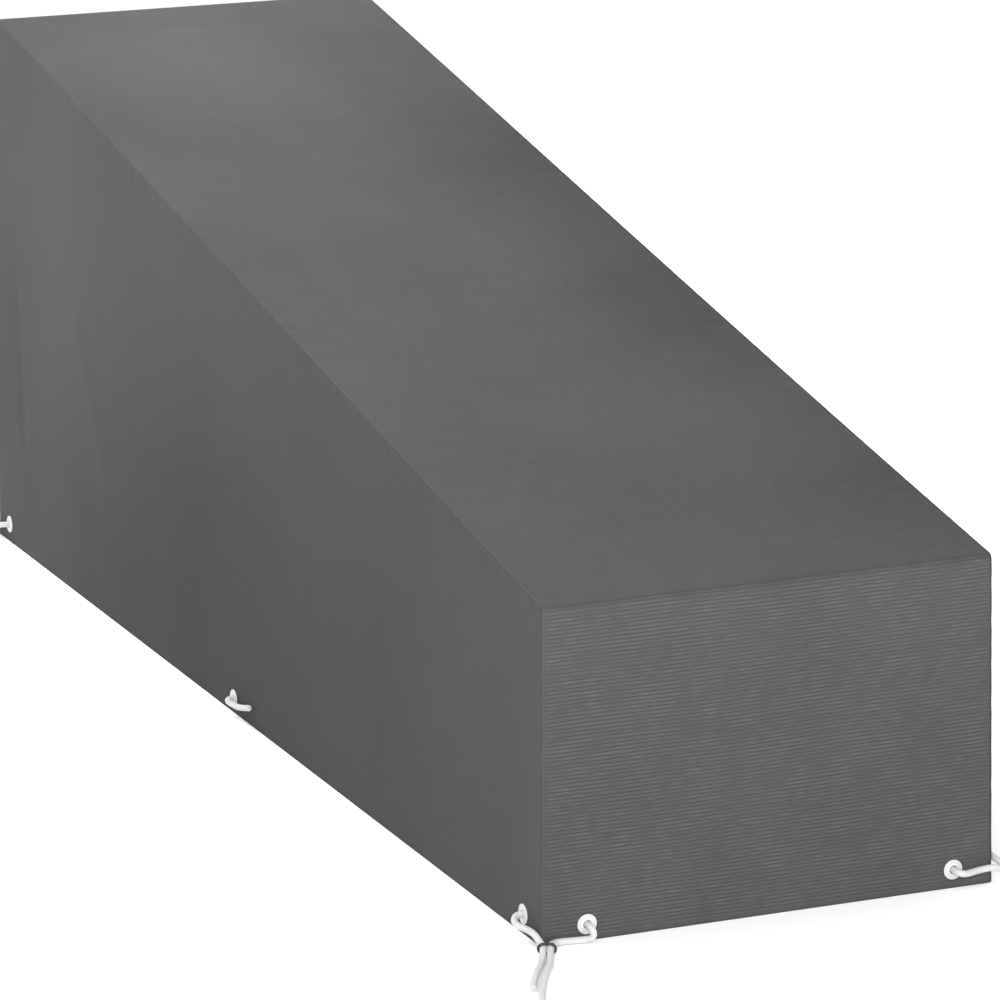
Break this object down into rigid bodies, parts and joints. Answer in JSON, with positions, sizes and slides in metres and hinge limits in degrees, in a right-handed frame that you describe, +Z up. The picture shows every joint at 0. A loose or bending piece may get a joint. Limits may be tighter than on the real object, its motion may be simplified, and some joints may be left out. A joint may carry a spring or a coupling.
{
  "type": "fitted sun lounger cover",
  "caption": "Fitted cloth cover for a lounge chair: a hollow box with a sloping top, open below, with white eyelets, tie cords and black bands along its hem.",
  "frame": {"origin": "centre of the hem's outline on the floor, under the middle of the cover", "axes": "+Z up, +Y along the cover towards the high head end, +X across it, so that the low foot end faces -Y"},
  "size_m": [0.809, 2.52, 0.8179],
  "materials": {
    "woven_cloth": "matte, thin and slightly see-through, with fine woven ribs",
    "white_plastic": "smooth white",
    "white_cord": "matte braid",
    "black_rubber": "smooth black"
  },
  "bodies": {
    "root": {"long_panel": "woven_cloth", "left_panel": "woven_cloth", "right_panel": "woven_cloth", "eyelet_foot_left": "white_plastic", "eyelet_foot_right": "white_plastic", "eyelet_head_left": "white_plastic", "eyelet_head_right": "white_plastic", "eyelet_left_foot": "white_plastic", "eyelet_left_middle": "white_plastic", "eyelet_left_head": "white_plastic", "eyelet_right_foot": "white_plastic", "eyelet_right_middle": "white_plastic", "eyelet_right_head": "white_plastic", "cord_foot_left_end": "white_cord", "cord_foot_left_side": "white_cord", "cord_foot_right_end": "white_cord", "cord_foot_right_side": "white_cord", "cord_head_left_end": "white_cord", "cord_head_left_side": "white_cord", "cord_head_right_end": "white_cord", "cord_head_right_side": "white_cord", "cord_left_middle": "white_cord", "cord_right_middle": "white_cord", "band_foot_left": "black_rubber", "band_foot_right": "black_rubber", "band_head_left": "black_rubber", "band_head_right": "black_rubber"}
  },
  "joints": []
}
